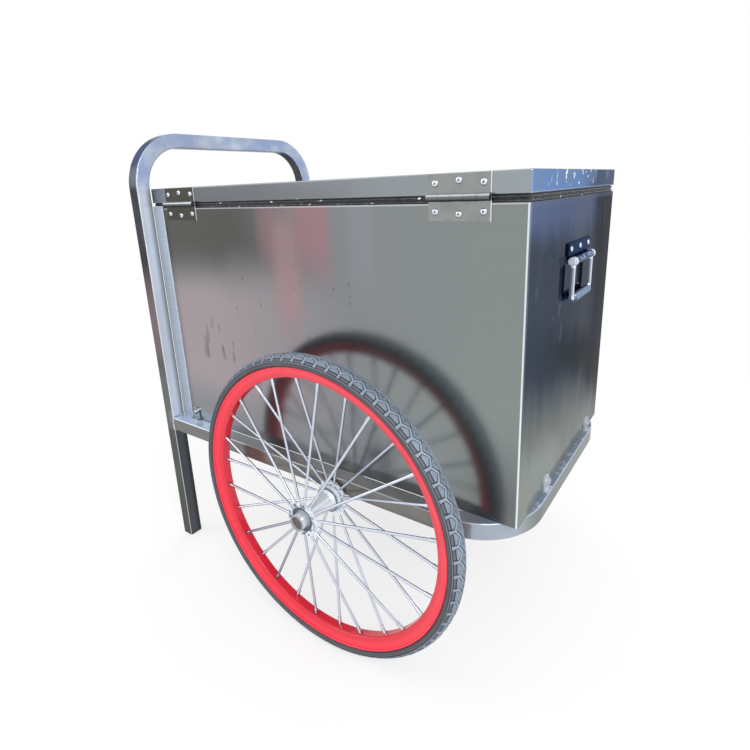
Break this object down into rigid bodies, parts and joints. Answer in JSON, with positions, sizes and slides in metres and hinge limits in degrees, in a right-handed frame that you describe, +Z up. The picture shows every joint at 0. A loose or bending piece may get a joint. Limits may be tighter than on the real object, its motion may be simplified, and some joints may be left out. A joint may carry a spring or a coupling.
{
  "type": "ice cream push cart",
  "caption": "Insulated steel chest with a hinged lid on a bent square-tube frame, with a push hoop, rear legs, a carry handle and large spoked wheels with solid tyres.",
  "frame": {"origin": "on the floor, under the middle of the bounding box", "axes": "+X towards the front end, away from the push bar; +Y towards the far side, away from the hinges; +Z up"},
  "size_m": [0.862, 0.7364, 0.95],
  "materials": {
    "frame_steel": "satin",
    "satin_sheet": "satin",
    "polished_sheet": "polished",
    "lid_sheet": "polished",
    "inner_sheet": "satin",
    "foam": "matte",
    "gasket_rubber": "matte",
    "hinge_steel": "satin",
    "rivet_aluminium": "satin",
    "bail_chrome": "polished",
    "grip_steel": "satin",
    "tyre_rubber": "matte",
    "rim_red": "gloss",
    "wheel_chrome": "polished",
    "axle_steel": "satin",
    "hub_plug": "matte"
  },
  "bodies": {
    "cart": {"handle_hoop": "frame_steel", "leg_end_plates": "frame_steel", "base_frame": "frame_steel", "rear_cross_tube": "frame_steel", "middle_cross_tube": "frame_steel", "axle_saddles": "frame_steel", "near_side_panel": "satin_sheet", "far_side_panel": "satin_sheet", "rear_end_panel": "satin_sheet", "floor_panel": "satin_sheet", "front_end_panel": "polished_sheet", "inner_liner": "inner_sheet", "top_rim": "inner_sheet", "floor_board": "foam", "near_board": "foam", "far_board": "foam", "front_board": "foam", "rear_board": "foam", "front_hinge_lower_leaf": "hinge_steel", "rear_hinge_lower_leaf": "hinge_steel", "hinge_pins": "hinge_steel", "box_lugs": "hinge_steel", "lug_bolts": "hinge_steel", "carry_plate": "hinge_steel", "carry_pin": "hinge_steel", "lower_hinge_rivets": "rivet_aluminium", "carry_rivets": "rivet_aluminium", "axle": "axle_steel", "axle_nuts": "axle_steel"},
    "lid": {"lid_skin": "lid_sheet", "lid_foam": "foam", "lid_liner": "inner_sheet", "lid_gasket": "gasket_rubber", "front_hinge_upper_leaf": "hinge_steel", "rear_hinge_upper_leaf": "hinge_steel", "upper_hinge_rivets": "rivet_aluminium"},
    "carry_handle": {"carry_bail": "bail_chrome", "carry_grip": "grip_steel"},
    "near_wheel": {"near_dust_ring": "gasket_rubber", "near_tyre": "tyre_rubber", "near_rim": "rim_red", "near_spokes": "wheel_chrome", "near_nipples": "wheel_chrome", "near_hub": "wheel_chrome", "near_bearings": "axle_steel", "near_hub_plug": "hub_plug"},
    "far_wheel": {"far_dust_ring": "gasket_rubber", "far_tyre": "tyre_rubber", "far_rim": "rim_red", "far_spokes": "wheel_chrome", "far_nipples": "wheel_chrome", "far_hub": "wheel_chrome", "far_bearings": "axle_steel", "far_hub_plug": "hub_plug"}
  },
  "joints": [
    {"name": "lid_hinge", "type": "hinge", "parent": "cart", "child": "lid", "pos_m": [0.0077, -0.24285, 0.803], "axis": [1, 0, 0], "range_deg": [0, 180]},
    {"name": "carry_handle_swing", "type": "hinge", "parent": "cart", "child": "carry_handle", "pos_m": [0.424, 0, 0.6965], "axis": [0, -1, 0], "range_deg": [0, 165]},
    {"name": "near_wheel_spin", "type": "hinge", "parent": "cart", "child": "near_wheel", "pos_m": [0.0835, -0.313, 0.2825], "axis": [0, 1, 0], "continuous": true},
    {"name": "far_wheel_spin", "type": "hinge", "parent": "cart", "child": "far_wheel", "pos_m": [0.0835, 0.313, 0.2825], "axis": [0, 1, 0], "continuous": true}
  ]
}
